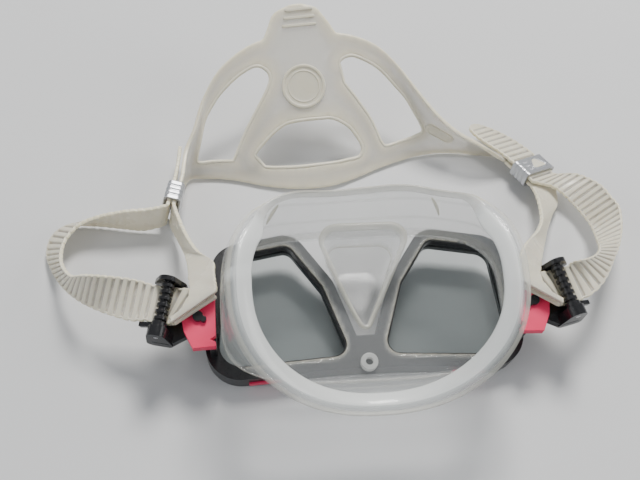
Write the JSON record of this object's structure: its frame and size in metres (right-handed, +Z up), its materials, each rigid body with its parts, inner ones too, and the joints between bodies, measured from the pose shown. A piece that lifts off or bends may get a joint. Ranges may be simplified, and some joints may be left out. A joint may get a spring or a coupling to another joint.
{
  "type": "diving mask",
  "caption": "Two-lens diving mask with a clear silicone skirt and nose pocket, swivelling roller buckles and a ribbed silicone strap with an open head pad, lying lens side down.",
  "frame": {"origin": "centre of the outer box, on the surface the mask lies on", "axes": "+X across the mask from the left buckle to the right one as it lies, +Y from the forehead towards the head pad, +Z up, from the lenses towards the wearer's face"},
  "size_m": [0.3439, 0.2654, 0.0902],
  "materials": {
    "skirt_silicone": "clear silicone, frosted on the sealing lip",
    "strap_silicone": "milky translucent silicone, slightly yellowed",
    "frame_plastic": "satin black",
    "buckle_plastic": "satin black",
    "coral_plastic": "coral pink, moulded",
    "silver_plastic": "silver, satin",
    "steel": "stainless",
    "lens_glass": "clear tempered glass"
  },
  "bodies": {
    "mask": {"skirt": "skirt_silicone", "frame": "frame_plastic", "lens_left": "lens_glass", "lens_right": "lens_glass", "lens_retainer_left": "frame_plastic", "lens_retainer_right": "frame_plastic", "rim_accent_left": "coral_plastic", "rim_accent_right": "coral_plastic", "buckle_bracket_left": "coral_plastic", "buckle_bracket_right": "coral_plastic", "pivot_pin_left": "buckle_plastic", "pivot_pin_right": "buckle_plastic", "head_pad": "strap_silicone", "strap_left": "strap_silicone", "strap_right": "strap_silicone"},
    "buckle_left": {"buckle_frame_left": "buckle_plastic", "roller_axle_left": "steel", "lever_spring_left": "steel"},
    "roller_left": {"strap_roller_left": "buckle_plastic"},
    "lever_left": {"release_lever_left": "buckle_plastic"},
    "keeper_left": {"keeper_left": "silver_plastic"},
    "buckle_right": {"buckle_frame_right": "buckle_plastic", "roller_axle_right": "steel", "lever_spring_right": "steel"},
    "roller_right": {"strap_roller_right": "buckle_plastic"},
    "lever_right": {"release_lever_right": "buckle_plastic"},
    "keeper_right": {"keeper_right": "silver_plastic"}
  },
  "joints": [
    {"name": "buckle_swivel_left", "type": "hinge", "parent": "mask", "child": "buckle_left", "pos_m": [-0.0807, -0.06853, 0.02934], "axis": [0, 0.1736, -0.9848], "range_deg": [-20, 15], "deforming": ["strap_left"]},
    {"name": "roller_turn_left", "type": "hinge", "parent": "buckle_left", "child": "roller_left", "pos_m": [-0.09794, -0.06298, 0.04149], "axis": [-0.225, -0.9596, -0.1692], "continuous": true},
    {"name": "release_lever_left", "type": "hinge", "parent": "buckle_left", "child": "lever_left", "pos_m": [-0.10068, -0.07469, 0.03942], "axis": [-0.225, -0.9596, -0.1692], "range_deg": [0, 25], "stiffness_Nm_per_rad": 0.02},
    {"name": "buckle_swivel_right", "type": "hinge", "parent": "mask", "child": "buckle_right", "pos_m": [0.0993, -0.06853, 0.02934], "axis": [0, -0.1736, 0.9848], "range_deg": [-20, 15], "deforming": ["strap_right"]},
    {"name": "roller_turn_right", "type": "hinge", "parent": "buckle_right", "child": "roller_right", "pos_m": [0.11654, -0.06298, 0.04149], "axis": [-0.225, 0.9596, 0.1692], "continuous": true},
    {"name": "release_lever_right", "type": "hinge", "parent": "buckle_right", "child": "lever_right", "pos_m": [0.11928, -0.07469, 0.03942], "axis": [-0.225, 0.9596, 0.1692], "range_deg": [0, 25], "stiffness_Nm_per_rad": 0.02},
    {"name": "keeper_slide_left", "type": "slide", "parent": "mask", "child": "keeper_left", "axis": [0.1987, 0.9787, -0.0515], "range_m": [-0.003, 0.003], "deforming": ["strap_left"]},
    {"name": "keeper_slide_right", "type": "slide", "parent": "mask", "child": "keeper_right", "axis": [-0.4773, 0.8749, -0.0826], "range_m": [-0.003, 0.003], "deforming": ["strap_right"]}
  ]
}
